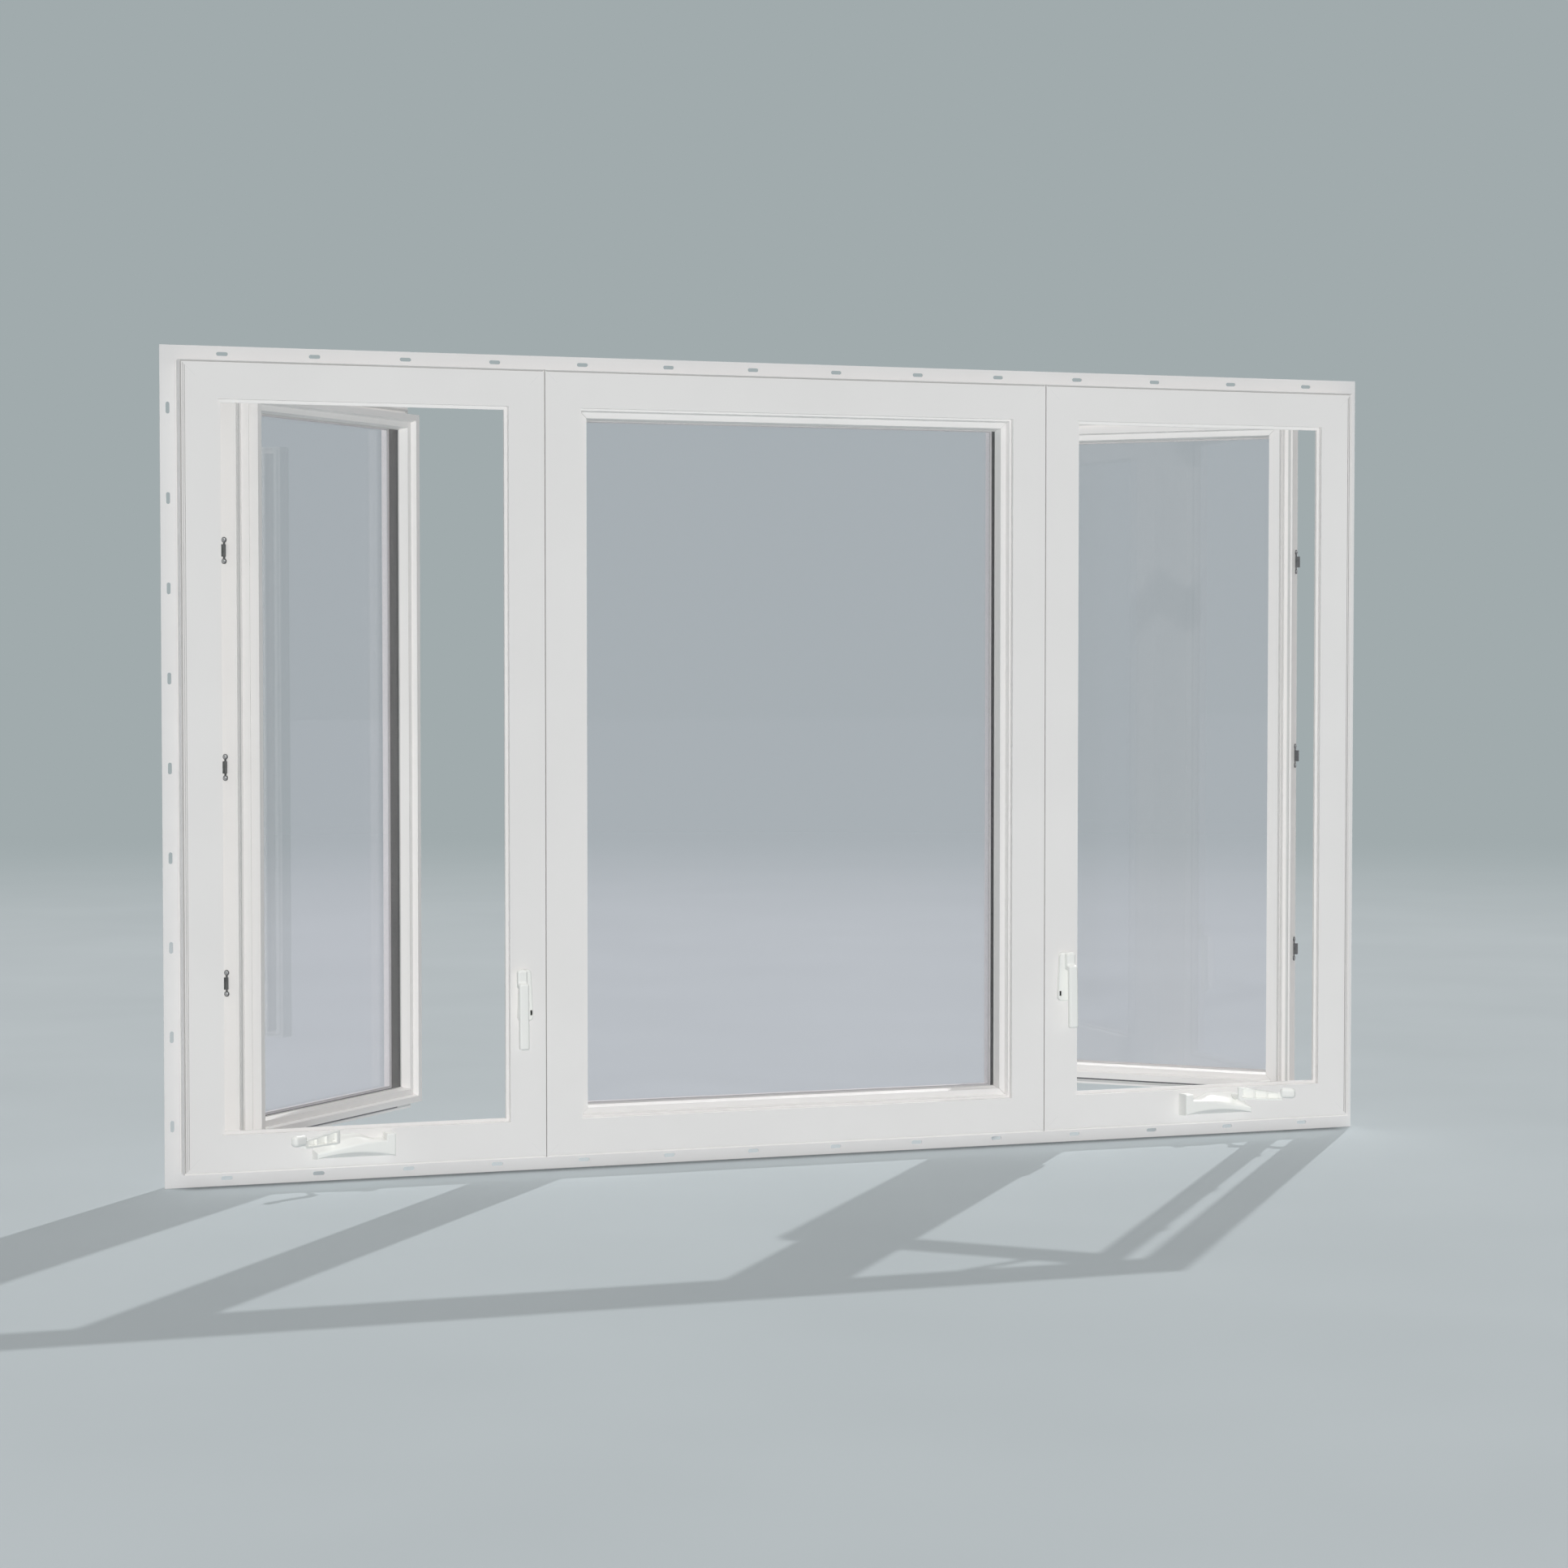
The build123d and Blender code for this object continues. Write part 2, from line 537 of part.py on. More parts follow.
def nail_fin():
    """Four fin strips: top and bottom run the full width, the sides fit between them."""
    fin_x = FRAME_EDGE_X + FIN_REACH
    fin_bottom = FRAME_BOTTOM - FIN_REACH
    fin_top = FRAME_TOP + FIN_REACH
    across_pitch = 2 * (fin_x - SLOT_END) / (SLOTS_ACROSS - 1)
    down_pitch = (fin_top - fin_bottom - 2 * SLOT_END) / (SLOTS_DOWN - 1)
    across = [-fin_x + SLOT_END + across_pitch * i for i in range(SLOTS_ACROSS)]
    down = [fin_bottom + SLOT_END + down_pitch * i for i in range(SLOTS_DOWN)]
    side_x = fin_x - SLOT_INSET
    low_z = fin_bottom + SLOT_INSET
    high_z = fin_top - SLOT_INSET
    bottom = fin_strip((-fin_x, fin_bottom), (fin_x, FRAME_BOTTOM), [(x, low_z) for x in across], False)
    top = fin_strip((-fin_x, FRAME_TOP), (fin_x, fin_top), [(x, high_z) for x in across], False)
    left = fin_strip((-fin_x, FRAME_BOTTOM), (-FRAME_EDGE_X, FRAME_TOP), [(-side_x, z) for z in down], True)
    return {"fin_bottom": bottom, "fin_top": top, "fin_left": left, "fin_right": mirror(left, Plane.YZ)}


def left_casement():
    """Every piece of the left casement; the right one is its mirror image."""
    edge, scored, plain = casement_section(True), casement_section(True, True), casement_section(False)
    frame = four_sides(edge, edge, scored, plain, -FRAME_EDGE_X, -SEAM_X, FRAME_BOTTOM, FRAME_TOP)
    pieces = {
        "sill": frame["bottom"], "head": frame["top"], "outer_jamb": frame["left"], "inner_jamb": frame["right"]
    }
    rail = sash_section()
    sash_box = (SASH_LEFT, SASH_RIGHT, SASH_BOTTOM, SASH_TOP)
    sash = four_sides(rail, rail, rail, rail, *sash_box)
    sash_names = {"bottom": "bottom_rail", "top": "top_rail", "left": "hinge_stile", "right": "lock_stile"}
    for side, name in sash_names.items():
        pieces["sash_" + name] = opened(sash[side])
    for name, piece in glazing(SASH_FACE, SASH_FRONT + BEAD_STEP, *sash_box).items():
        pieces["sash_" + name] = opened(piece)
    sill_hinge = hinge()
    pieces["sill_hinge"] = sill_hinge
    pieces["head_hinge"] = mirror(sill_hinge, Plane.XY.offset(MID_HEIGHT))
    cover = operator_cover()
    pieces["operator_cover"] = cover
    pieces["crank_handle"] = crank_handle(cover)
    pieces["snubbers"] = snubbers()
    return pieces | operator() | lock()


def picture_unit():
    """Fixed unit in the middle."""
    edge, plain = picture_section(True), picture_section(False)
    box = (-SEAM_X, SEAM_X, FRAME_BOTTOM, FRAME_TOP)
    frame = four_sides(edge, edge, plain, plain, *box)
    pieces = {
        "sill": frame["bottom"], "head": frame["top"], "left_jamb": frame["left"], "right_jamb": frame["right"]
    }
    return pieces | glazing(STOP_WIDTH, LIP_FRONT + BEAD_STEP, *box)


def main():
    nodes = nail_fin()
    for name, piece in left_casement().items():
        nodes["left_" + name] = piece
        nodes["right_" + name] = mirror(piece, Plane.YZ)
    for name, piece in picture_unit().items():
        nodes["centre_" + name] = piece
    os.makedirs("parts", exist_ok=True)
    for name, piece in nodes.items():
        export_step(piece, f"parts/{name}.step")


main()
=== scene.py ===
import json
import math

import bpy
from mathutils import Matrix, Vector


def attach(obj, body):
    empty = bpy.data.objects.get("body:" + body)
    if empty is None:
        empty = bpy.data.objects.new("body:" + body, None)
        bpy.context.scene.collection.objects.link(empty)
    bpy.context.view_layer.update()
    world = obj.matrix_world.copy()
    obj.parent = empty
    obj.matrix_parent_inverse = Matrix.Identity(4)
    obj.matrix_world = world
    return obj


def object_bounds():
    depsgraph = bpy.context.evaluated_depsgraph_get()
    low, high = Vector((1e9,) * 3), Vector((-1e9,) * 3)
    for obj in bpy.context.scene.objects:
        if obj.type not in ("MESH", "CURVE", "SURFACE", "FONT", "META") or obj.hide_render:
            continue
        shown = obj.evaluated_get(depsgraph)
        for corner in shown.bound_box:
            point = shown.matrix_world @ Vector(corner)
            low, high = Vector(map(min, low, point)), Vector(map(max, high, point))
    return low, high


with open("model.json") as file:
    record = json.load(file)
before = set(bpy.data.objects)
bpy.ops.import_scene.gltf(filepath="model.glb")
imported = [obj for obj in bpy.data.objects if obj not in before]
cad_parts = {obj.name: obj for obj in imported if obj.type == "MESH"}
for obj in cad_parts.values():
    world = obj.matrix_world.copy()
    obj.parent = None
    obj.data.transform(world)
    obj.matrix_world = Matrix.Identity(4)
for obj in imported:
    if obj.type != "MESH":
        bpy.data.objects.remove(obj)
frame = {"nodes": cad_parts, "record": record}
cad_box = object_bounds()

# Camera, fitted to the nail slots in the photograph
CAMERA_PLACE = (-2.0017, -5.5167, 0.8527)
CAMERA_PITCH = math.radians(90.0 - 2.131)
CAMERA_YAW = math.radians(-19.76)
CAMERA_LENS = 77.85
CAMERA_SENSOR = 36.0

# Stage colours: the backdrop as seen, what mirrors show of the room and the floor, and the floor's paint
BACKDROP = (161, 171, 173)
REFLECTED = (213, 212, 222)
FLOOR_REFLECTED = (236, 233, 246)
FLOOR = (200, 208, 211)
FLOOR_REACH = 40.0
FLOOR_FADE_START = 4.0
FLOOR_FADE_END = 11.0

# Light levels: what each light adds to a white matt surface that faces it, with nothing in between
SKY_LEVEL = 0.14
KEY_LEVEL = 0.35
KEY_TRAVEL = (-0.458, -0.589, -0.666)
KEY_ANGLE = math.radians(0.6)
FILL_LEVEL = 0.71
FILL_TRAVEL = (0.28, 0.75, -0.60)
FILL_ANGLE = math.radians(40.0)
BOUNCE_LEVEL = 0.08
BOUNCE_TRAVEL = (0.1, 0.15, 1.0)

# The window's own lines, in metres, as in the part
SEAM_X = 0.4572
FRAME_EDGE_X = 1.0668
FRAME_BOTTOM = 0.0127
FRAME_TOP = 1.3335
FRAME_INDOOR = -0.036
FRAME_OUTDOOR = 0.0465
STOP_WIDTH = 0.068
STOP_BACK = -0.022
SASH_INSET = 0.053
SASH_FRONT = -0.019
SASH_FACE = 0.0127
SASH_FLANGE_START = 0.033
SASH_OPEN = math.radians(45.0)
BEAD_WIDTH = 0.013
GLASS_FROM_FRONT = 0.0283
GLASS_THICKNESS = 0.025
PICTURE_GLASS_FRONT = 0.0013
PIN_CLOSED = (-1.0108, 0.0305)
PIN_OPEN_X = -0.9669
SCORED_FACE = 0.010
SNUBBER_EDGE = (-1.0304, 0.0375)
SNUBBER_PITCH = 0.355
SNUBBER_LUG = 0.0175
POCKET_FLOOR = 0.0427
HINGE_LAYER = 0.008 / 3
HINGE_SCREWS_X = (-1.020, -0.715)
HINGE_PIVOT_X = -0.7323
GUIDE_X = -0.8668
TRACK_FRONT = -0.013
TRACK_MIDDLE_Z = 0.0640
LOCK_SLOT = (-0.4852, -0.0400, 0.2582)
# Size of the dark box that paints the shade in a lock slot
LOCK_SLOT_SHADE = (0.0036, 0.0018, 0.0084)

CASEMENT = (-FRAME_EDGE_X, -SEAM_X, FRAME_BOTTOM, FRAME_TOP)
PICTURE = (-SEAM_X, SEAM_X, FRAME_BOTTOM, FRAME_TOP)
SASH = (-FRAME_EDGE_X + SASH_INSET, -SEAM_X - SASH_INSET, FRAME_BOTTOM + SASH_INSET, FRAME_TOP - SASH_INSET)
OPENED = (
    Matrix.Translation((PIN_OPEN_X, PIN_CLOSED[1], 0.0))
    @ Matrix.Rotation(SASH_OPEN, 4, "Z")
    @ Matrix.Translation((-PIN_CLOSED[0], -PIN_CLOSED[1], 0.0))
)
STILL = Matrix.Identity(4)
MIRROR = Matrix.Scale(-1.0, 4, (1.0, 0.0, 0.0))

# Surface patterns: noise scale and detail, and how far along the noise each colour starts
MOTTLE_NOISE = (5.0, 3.0)
GLOSS_NOISE = (40.0, 4.0)
STREAK_NOISE = (120.0, 5.0)
FLOOR_NOISE = (1.5, 2.0)
FLOOR_VARIATION = 2
GRAIN_DETAIL = 2.0
GRAIN_STRENGTH = 0.25
LOW_COLOUR_AT = 0.3
HIGH_COLOUR_AT = 0.7
METAL_SHARE = 0.9
GLASS_TINT = (254, 253, 255)
GLASS_IOR = 1.5
GLASS_CLEAR = 0.985

# Painted shade in corners and grooves: ambient occlusion darkens the colour where surfaces meet
CREVICE_SAMPLES = 8
CREVICE_REACH = 0.003
CREVICE_SHADE = 0.74
CREVICE_FULL = 0.25
CREVICE_NONE = 0.8

# Contact shade on the floor
CONTACT_REACH = 0.035
CONTACT_SHADE = 0.25

# Seals, welds and screws
SEAL_PROUD = 0.0022
SEAL_WIDTH = 0.0035
STOP_STRIP_EDGE = 0.004
FLANGE_STRIP_INSET = -0.011
GASKET_WIDTH = 0.0012
GASKET_HEIGHT = 0.0016
WELD_WIDTH = 0.0006
WELD_PROUD = 0.00006
WELD_LENGTH = 0.016
SASH_WELD_START = 0.001
PICTURE_WELD_START = 0.006
SCREW_RADIUS = 0.0032
SCREW_HEIGHT = 0.0015
SCREW_SIDES = 24
SCREW_PROFILE = ((1.0, 0.0), (1.0, 0.45), (0.82, 0.8), (0.55, 1.0))
RECESS_RISES = (1.0, 0.35)
RECESS_CORE = 0.16
RECESS_ARM = 0.36
RECESS_SHARPNESS = 4
STUD_RADIUS = 0.0017
STUD_HEIGHT = 0.0016
RIVET_RADIUS = 0.0045
RIVET_HEIGHT = 0.0014
WEEP_SIZE = (0.042, 0.003, 0.010)
WEEP_FROM_CORNER = 0.12
WEEP_INSET = 0.016
WEEP_ROUND = 0.0012
ROUND_SEGMENTS = 3


def linear(colour):
    """Scene-linear colour from an 8-bit screen colour."""
    shares = [value / 255.0 for value in colour]
    return tuple(
        share / 12.92 if share <= 0.04045 else ((share + 0.055) / 1.055) ** 2.4
        for share in shares
    )


def new_material(name):
    """Material with only an output node."""
    material = bpy.data.materials.new(name)
    material.use_nodes = True
    nodes = material.node_tree.nodes
    nodes.clear()
    output = nodes.new("ShaderNodeOutputMaterial")
    return material, nodes, material.node_tree.links, output


def noise(nodes, links, scale, detail):
    """Noise texture on object coordinates."""
    place = nodes.new("ShaderNodeTexCoord")
    texture = nodes.new("ShaderNodeTexNoise")
    texture.inputs["Scale"].default_value = scale
    texture.inputs["Detail"].default_value = detail
    links.new(place.outputs["Object"], texture.inputs["Vector"])
    return texture.outputs["Fac"]


def ramp(nodes, links, source, low, high, start=LOW_COLOUR_AT, end=HIGH_COLOUR_AT):
    """Colour ramp between two linear colours."""
    node = nodes.new("ShaderNodeValToRGB")
    node.color_ramp.elements[0].position = start
    node.color_ramp.elements[0].color = (*low, 1.0)
    node.color_ramp.elements[1].position = end
    node.color_ramp.elements[1].color = (*high, 1.0)
    links.new(source, node.inputs["Fac"])
    return node.outputs["Color"]


def spread(nodes, links, source, low, high):
    """Maps 0..1 to low..high."""
    node = nodes.new("ShaderNodeMapRange")
    node.inputs["To Min"].default_value = low
    node.inputs["To Max"].default_value = high
    links.new(source, node.inputs["Value"])
    return node.outputs["Result"]


def mix_shaders(nodes, links, factor, first, second):
    """Mix Shader of two shader outputs by a factor output."""
    node = nodes.new("ShaderNodeMixShader")
    links.new(factor, node.inputs["Fac"])
    links.new(first, node.inputs[1])
    links.new(second, node.inputs[2])
    return node.outputs["Shader"]


def combine(nodes, links, operation, first, second):
    """Clamped Math node of two outputs."""
    node = nodes.new("ShaderNodeMath")
    node.operation = operation
    node.use_clamp = True
    links.new(first, node.inputs[0])
    links.new(second, node.inputs[1])
    return node.outputs["Value"]


def glow(nodes, colour):
    """Emission of one 8-bit screen colour."""
    node = nodes.new("ShaderNodeEmission")
    node.inputs["Color"].default_value = (*linear(colour), 1.0)
    return node.outputs["Emission"]


def painted_crevice_shade(nodes, links, colour, shade, reach):
    """Paints shade into a colour: multiplies it by a shade where surfaces meet within a reach, from ambient
    occlusion.
    """
    corner = nodes.new("ShaderNodeAmbientOcclusion")
    corner.samples = CREVICE_SAMPLES
    corner.inputs["Distance"].default_value = reach
    white = (1.0, 1.0, 1.0)
    tint = ramp(nodes, links, corner.outputs["AO"], (shade,) * 3, white, CREVICE_FULL, CREVICE_NONE)
    mix = nodes.new("ShaderNodeMix")
    mix.data_type = "RGBA"
    mix.blend_type = "MULTIPLY"
    mix.inputs["Factor"].default_value = 1.0
    links.new(colour, mix.inputs["A"])
    links.new(tint, mix.inputs["B"])
    return mix.outputs["Result"]


def plastic(name, low, high, roughness, grain_scale, grain_height, specular=0.5):
    """Moulded or extruded plastic: slight mottling, painted shade in corners, uneven gloss and a fine
    grain.
    """
    material, nodes, links, output = new_material(name)
    shader = nodes.new("ShaderNodeBsdfPrincipled")
    shader.inputs["Specular IOR Level"].default_value = specular
    links.new(shader.outputs["BSDF"], output.inputs["Surface"])
    body = ramp(nodes, links, noise(nodes, links, *MOTTLE_NOISE), linear(low), linear(high))
    # painted shade: the base colour is darkened in corners and grooves
    crevice_shaded = painted_crevice_shade(nodes, links, body, CREVICE_SHADE, CREVICE_REACH)
    links.new(crevice_shaded, shader.inputs["Base Color"])
    gloss = noise(nodes, links, *GLOSS_NOISE)
    links.new(spread(nodes, links, gloss, *roughness), shader.inputs["Roughness"])
    grain = noise(nodes, links, grain_scale, GRAIN_DETAIL)
    bump = nodes.new("ShaderNodeBump")
    bump.inputs["Strength"].default_value = GRAIN_STRENGTH
    bump.inputs["Distance"].default_value = grain_height
    links.new(grain, bump.inputs["Height"])
    links.new(bump.outputs["Normal"], shader.inputs["Normal"])
    return material


def metal(name, low, high, roughness):
    """Brushed or stamped metal."""
    material, nodes, links, output = new_material(name)
    shader = nodes.new("ShaderNodeBsdfPrincipled")
    shader.inputs["Metallic"].default_value = METAL_SHARE
    links.new(shader.outputs["BSDF"], output.inputs["Surface"])
    streak = noise(nodes, links, *STREAK_NOISE)
    links.new(ramp(nodes, links, streak, linear(low), linear(high)), shader.inputs["Base Color"])
    links.new(spread(nodes, links, streak, *roughness), shader.inputs["Roughness"])
    return material


def glass():
    """Clear float glass that lets lamp light and bounced light straight through."""
    material, nodes, links, output = new_material("window_glass")
    shader = nodes.new("ShaderNodeBsdfPrincipled")
    shader.inputs["Base Color"].default_value = (*linear(GLASS_TINT), 1.0)
    shader.inputs["Roughness"].default_value = 0.0
    shader.inputs["IOR"].default_value = GLASS_IOR
    shader.inputs["Transmission Weight"].default_value = GLASS_CLEAR
    clear = nodes.new("ShaderNodeBsdfTransparent")
    path = nodes.new("ShaderNodeLightPath").outputs
    unseen = combine(nodes, links, "MAXIMUM", path["Is Shadow Ray"], path["Is Diffuse Ray"])
    mix = mix_shaders(nodes, links, unseen, shader.outputs["BSDF"], clear.outputs["BSDF"])
    links.new(mix, output.inputs["Surface"])
    return material


def make_materials():
    """One material for each of the record's slots, and those of the added pieces.

    Each has its darkest and lightest 8-bit colour and its lowest and highest roughness. The plastics also
    have their grain's scale and height and, where it isn't the usual one, their specular level.
    """
    return {
        "vinyl": plastic("white_vinyl", (234, 232, 230), (237, 235, 233), (0.42, 0.55), 900.0, 0.00002),
        "fin": plastic("white_vinyl_fin", (226, 225, 224), (229, 228, 227), (0.45, 0.58), 900.0, 0.00002),
        "hardware": plastic(
            "white_hardware", (239, 240, 236), (243, 243, 239), (0.35, 0.45), 400.0, 0.00001
        ),
        "spacer": plastic("dark_spacer", (24, 26, 25), (32, 34, 33), (0.6, 0.8), 700.0, 0.00005, 0.15),
        "steel": metal("grey_steel", (100, 103, 103), (122, 124, 124), (0.3, 0.5)),
        "track": metal("dark_track", (110, 112, 112), (126, 128, 128), (0.4, 0.6)),
        "zinc": metal("zinc_screws", (176, 178, 178), (202, 204, 204), (0.25, 0.4)),
        "glass": glass(),
        "seal": plastic("grey_seal", (196, 196, 195), (206, 206, 204), (0.6, 0.75), 1200.0, 0.00004),
        "weld": plastic("weld_line", (226, 225, 224), (231, 230, 229), (0.5, 0.65), 900.0, 0.00002),
    }


def dress(materials):
    """Gives each CAD node the material of its slot."""
    slots = {row["node"]: row["material_slot"] for row in frame["record"]["subparts"]}
    for name, node in frame["nodes"].items():
        node.data.materials.clear()
        node.data.materials.append(materials[slots[name]])


def add_piece(name, points, faces, place, material, slot):
    """Mesh piece on the root body, from points in the left casement's closed frame and their place."""
    mesh = bpy.data.meshes.new(name)
    flip = place.determinant() < 0
    mesh.from_pydata([place @ Vector(p) for p in points], [], [f[::-1] if flip else f for f in faces])
    mesh.materials.append(material)
    piece = bpy.data.objects.new(name, mesh)
    bpy.context.collection.objects.link(piece)
    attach(piece, "root")
    return piece


def round_edges(piece, width):
    """Rounds a piece's edges."""
    bevel = piece.modifiers.new("round", "BEVEL")
    bevel.width = width
    bevel.segments = ROUND_SEGMENTS


def ring(section, box):
    """Points and faces of a mitred rectangular ring; section is a closed loop of (inset, depth)."""
    left, right, bottom, top = box
    points = []
    for inset, depth in section:
        points += [
            (left + inset, depth, bottom + inset), (right - inset, depth, bottom + inset),
            (right - inset, depth, top - inset), (left + inset, depth, top - inset),
        ]
    faces = []
    count = len(section)
    for i in range(count):
        j = (i + 1) % count
        for side in range(4):
            after = (side + 1) % 4
            faces.append((4 * i + side, 4 * i + after, 4 * j + after, 4 * j + side))
    return points, faces


def join(parts):
    """One mesh from several (points, faces) pairs."""
    points, faces = [], []
    for part_points, part_faces in parts:
        start = len(points)
        points += part_points
        faces += [tuple(start + i for i in face) for face in part_faces]
    return points, faces


def box_part(low, high):
    """Points and faces of a box."""
    points = [(x, y, z) for x in (low[0], high[0]) for y in (low[1], high[1]) for z in (low[2], high[2])]
    faces = [(0, 1, 3, 2), (4, 6, 7, 5), (0, 4, 5, 1), (2, 3, 7, 6), (0, 2, 6, 4), (1, 5, 7, 3)]
    return points, faces


def moved(part, place):
    """A part's points sent through a matrix."""
    points, faces = part
    return [tuple(place @ Vector(p)) for p in points], faces


def screw_part(radius, height):
    """Pan-head screw at the origin with its axis along -Y and a cross recess."""
    angles = [2 * math.pi * i / SCREW_SIDES for i in range(SCREW_SIDES)]
    cross = [RECESS_CORE + RECESS_ARM * abs(math.cos(2 * angle)) ** RECESS_SHARPNESS for angle in angles]
    levels = [([share] * SCREW_SIDES, rise) for share, rise in SCREW_PROFILE]
    levels += [(cross, rise) for rise in RECESS_RISES]
    points, faces = [], []
    for shares, rise in levels:
        for share, angle in zip(shares, angles):
            reach = radius * share
            points.append((reach * math.cos(angle), -height * rise, reach * math.sin(angle)))
    count = len(levels)
    for level in range(count - 1):
        for i in range(SCREW_SIDES):
            after = (i + 1) % SCREW_SIDES
            low, high = level * SCREW_SIDES, (level + 1) * SCREW_SIDES
            faces.append((low + i, high + i, high + after, low + after))
    last = (count - 1) * SCREW_SIDES
    faces.append(tuple(last + i for i in reversed(range(SCREW_SIDES))))
    return points, faces


def loop(inset_low, inset_high, depth_low, depth_high):
    """Rectangular seal section."""
    return [
        (inset_low, depth_low), (inset_high, depth_low),
        (inset_high, depth_high), (inset_low, depth_high),
    ]


def gaskets(edge, glass_front, box):
    """Glazing seals on both sides of a glass unit, from an inset inward."""
    fronts = (glass_front - GASKET_HEIGHT, glass_front + GLASS_THICKNESS)
    return join(
        [ring(loop(edge, edge + GASKET_WIDTH, front, front + GASKET_HEIGHT), box) for front in fronts]
    )


def weld_part(box, from_inset, to_inset, front):
    """Raised weld lines on the four mitres of a frame's indoor face, between two insets."""
    left, right, bottom, top = box
    parts = []
    half = WELD_WIDTH / math.sqrt(2)
    for x, x_sign in ((left, 1), (right, -1)):
        for z, z_sign in ((bottom, 1), (top, -1)):
            points = []
            for depth in (front, front - WELD_PROUD):
                for reach in (from_inset, to_inset):
                    points.append((x + x_sign * (reach - half), depth, z + z_sign * reach))
                    points.append((x + x_sign * reach, depth, z + z_sign * (reach - half)))
            faces = [(4, 5, 7, 6), (0, 4, 6, 2), (1, 3, 7, 5), (0, 1, 5, 4), (2, 6, 7, 3)]
            if x_sign * z_sign < 0:
                faces = [face[::-1] for face in faces]
            parts.append((points, faces))
    return join(parts)


def add_seals(materials):
    """Weatherstrips of the casements and the glazing seals of all three units."""
    bead_edge = SASH_FACE + BEAD_WIDTH
    sash_glass = SASH_FRONT + GLASS_FROM_FRONT
    flange_face = SASH_FRONT + SASH_FLANGE_START
    strip_edge = STOP_WIDTH - STOP_STRIP_EDGE
    stop_strip = ring(
        loop(strip_edge - SEAL_WIDTH, strip_edge, STOP_BACK, STOP_BACK + SEAL_PROUD), CASEMENT
    )
    strip_end = FLANGE_STRIP_INSET + SEAL_WIDTH
    flange_strip = ring(
        loop(FLANGE_STRIP_INSET, strip_end, flange_face - SEAL_PROUD, flange_face), SASH
    )
    sash_seals = gaskets(bead_edge, sash_glass, SASH)
    for side, turn in (("left", STILL), ("right", MIRROR)):
        add_piece(side + "_stop_weatherstrip", *stop_strip, turn, materials["seal"], "vinyl")
        add_piece(side + "_sash_weatherstrip", *flange_strip, turn @ OPENED, materials["seal"], "vinyl")
        add_piece(side + "_glazing_seals", *sash_seals, turn @ OPENED, materials["seal"], "vinyl")
    centre = gaskets(STOP_WIDTH + BEAD_WIDTH, PICTURE_GLASS_FRONT, PICTURE)
    add_piece("centre_glazing_seals", *centre, STILL, materials["seal"], "vinyl")


def add_welds(materials):
    """Weld marks near the outer corners of the frames and on the mitres of the sashes."""
    casement = weld_part(CASEMENT, SCORED_FACE, SCORED_FACE + WELD_LENGTH, FRAME_INDOOR)
    sash = weld_part(SASH, SASH_WELD_START, SASH_FACE, SASH_FRONT)
    for side, turn in (("left", STILL), ("right", MIRROR)):
        add_piece(side + "_frame_welds", *casement, turn, materials["weld"], "vinyl")
        add_piece(side + "_sash_welds", *sash, turn @ OPENED, materials["weld"], "vinyl")
    picture = weld_part(PICTURE, PICTURE_WELD_START, PICTURE_WELD_START + WELD_LENGTH, FRAME_INDOOR)
    add_piece("centre_frame_welds", *picture, STILL, materials["weld"], "vinyl")


def add_weeps(materials):
    """Weep covers on the outdoor face of the three sills."""
    half = WEEP_SIZE[0] / 2
    low_z = FRAME_BOTTOM + WEEP_INSET - WEEP_SIZE[2] / 2
    parts = []
    for left, right in ((-FRAME_EDGE_X, -SEAM_X), (-SEAM_X, SEAM_X), (SEAM_X, FRAME_EDGE_X)):
        for x in (left + WEEP_FROM_CORNER, right - WEEP_FROM_CORNER):
            parts.append(box_part(
                (x - half, FRAME_OUTDOOR, low_z),
                (x + half, FRAME_OUTDOOR + WEEP_SIZE[1], low_z + WEEP_SIZE[2]),
            ))
    round_edges(add_piece("weep_covers", *join(parts), STILL, materials["vinyl"], "vinyl"), WEEP_ROUND)


